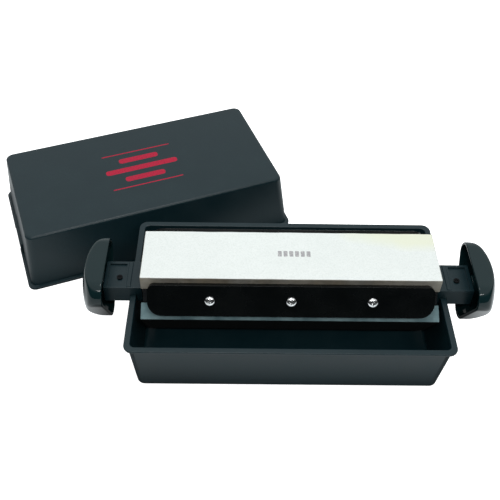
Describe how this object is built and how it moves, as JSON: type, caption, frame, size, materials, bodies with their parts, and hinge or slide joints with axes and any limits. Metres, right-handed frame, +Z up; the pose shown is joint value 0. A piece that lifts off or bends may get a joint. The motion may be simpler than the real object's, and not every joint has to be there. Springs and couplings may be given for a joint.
{
  "type": "rotating oilstone station",
  "caption": "Bench sharpening station: a triangular rotor of oilstones, turned by cup handles at its ends, over an oil tray, with a box lid that lifts off.",
  "frame": {"origin": "centre of the tray's underside", "axes": "+X along the stones to the right-hand handle, +Z up, -Y towards the user; the lid lies behind and to the left"},
  "size_m": [0.556, 0.4079, 0.1124],
  "materials": {
    "body_plastic": "satin moulded black with a blue cast",
    "handle_plastic": "glossy moulded black",
    "core_plastic": "plain moulded black",
    "bar_plastic": "smooth moulded black",
    "foot_rubber": "matt black rubber",
    "bush_nylon": "natural nylon",
    "screw_chrome": "bright plated",
    "axle_steel": "drawn bar",
    "medium_grit": "fine white bonded grit",
    "coarse_grit": "open grey bonded grit",
    "fine_grit": "dense red-brown bonded grit"
  },
  "bodies": {
    "base": {"tray": "body_plastic", "foot_front_left": "foot_rubber", "foot_front_right": "foot_rubber", "foot_rear_left": "foot_rubber", "foot_rear_right": "foot_rubber"},
    "lid": {"lid": "body_plastic"},
    "carrier": {"bearing_block_left": "body_plastic", "bearing_block_right": "body_plastic", "axle_bush_left": "bush_nylon", "axle_bush_right": "bush_nylon", "bush_screw_left": "screw_chrome", "bush_screw_right": "screw_chrome"},
    "rotor": {"rotor_core": "core_plastic", "medium_stone": "medium_grit", "coarse_stone": "coarse_grit", "fine_stone": "fine_grit", "clamp_bar_front": "bar_plastic", "clamp_bar_bottom": "bar_plastic", "clamp_bar_rear": "bar_plastic", "screw_front_1": "screw_chrome", "screw_front_2": "screw_chrome", "screw_front_3": "screw_chrome", "screw_bottom_1": "screw_chrome", "screw_bottom_2": "screw_chrome", "screw_bottom_3": "screw_chrome", "screw_rear_1": "screw_chrome", "screw_rear_2": "screw_chrome", "screw_rear_3": "screw_chrome", "axle": "axle_steel", "handle_left": "handle_plastic", "handle_right": "handle_plastic", "handle_grub_screw_left": "axle_steel", "handle_grub_screw_right": "axle_steel"}
  },
  "joints": [
    {"name": "lid_lift", "type": "slide", "parent": "base", "child": "lid", "axis": [0, 0, 1], "range_m": [0, 0.13]},
    {"name": "rotor_lift", "type": "slide", "parent": "base", "child": "carrier", "axis": [0, 0, 1], "range_m": [0, 0.08]},
    {"name": "rotor_turn", "type": "hinge", "parent": "carrier", "child": "rotor", "pos_m": [0, 0, 0.0683], "axis": [1, 0, 0], "continuous": true}
  ]
}
